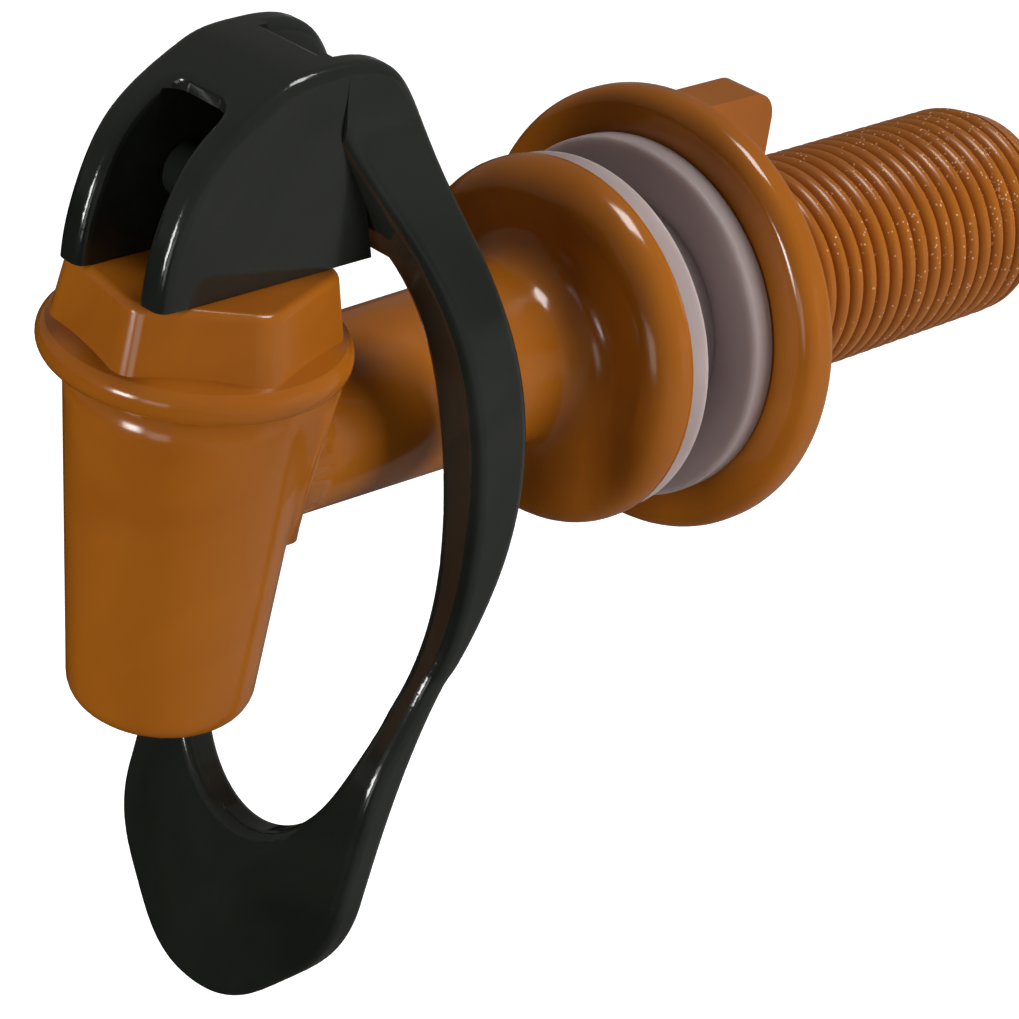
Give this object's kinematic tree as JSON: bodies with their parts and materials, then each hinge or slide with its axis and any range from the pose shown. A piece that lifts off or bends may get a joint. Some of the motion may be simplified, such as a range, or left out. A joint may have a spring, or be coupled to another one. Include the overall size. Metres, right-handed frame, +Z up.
{
  "type": "push-lever water filter tap",
  "caption": "Push-lever tap for a water filter tank: threaded shank with washers and wing nut, six-sided bonnet, tapered spout and a hanging loop lever.",
  "frame": {"origin": "on the shank's axis, in the rear face of the body's flange, where the front washer seats", "axes": "+Y along the shank into the tank, +Z up, the spout hangs at -Y with its mouth towards -Z, X across the lever"},
  "size_m": [0.0316, 0.0897, 0.0692],
  "materials": {
    "orange_plastic": "glossy",
    "black_plastic": "glossy",
    "silicone": "frosted",
    "spring_steel": "bright wire"
  },
  "bodies": {
    "tap": {"tap_body": "orange_plastic", "bonnet": "orange_plastic", "front_washer": "silicone"},
    "stem": {"stem": "black_plastic", "seat_cup": "silicone", "return_spring": "spring_steel"},
    "lever": {"lever": "black_plastic"},
    "rear_washer": {"rear_washer": "silicone"},
    "wing_nut": {"wing_nut": "orange_plastic"}
  },
  "joints": [
    {"name": "stem_lift", "type": "slide", "parent": "tap", "child": "stem", "axis": [0, 0, 1], "range_m": [0, 0.00183], "stiffness_N_per_m": 900, "springref_m": -0.005, "deforming": ["return_spring", "seat_cup"]},
    {"name": "lever_push", "type": "hinge", "parent": "stem", "child": "lever", "pos_m": [0, -0.033, 0.0184], "axis": [1, 0, 0], "range_deg": [0, 15]},
    {"name": "nut_travel", "type": "slide", "parent": "tap", "child": "rear_washer", "axis": [0, 1, 0], "range_m": [0, 0.024]},
    {"name": "nut_turn", "type": "hinge", "parent": "rear_washer", "child": "wing_nut", "pos_m": [0, 0.0083, 0], "axis": [0, 1, 0], "range_deg": [0, 5760]}
  ],
  "couplings": [
    {"joint": "lever_push", "follows": "stem_lift", "rad_per_m": 142.86},
    {"joint": "nut_turn", "follows": "nut_travel", "rad_per_m": 4188.8}
  ]
}
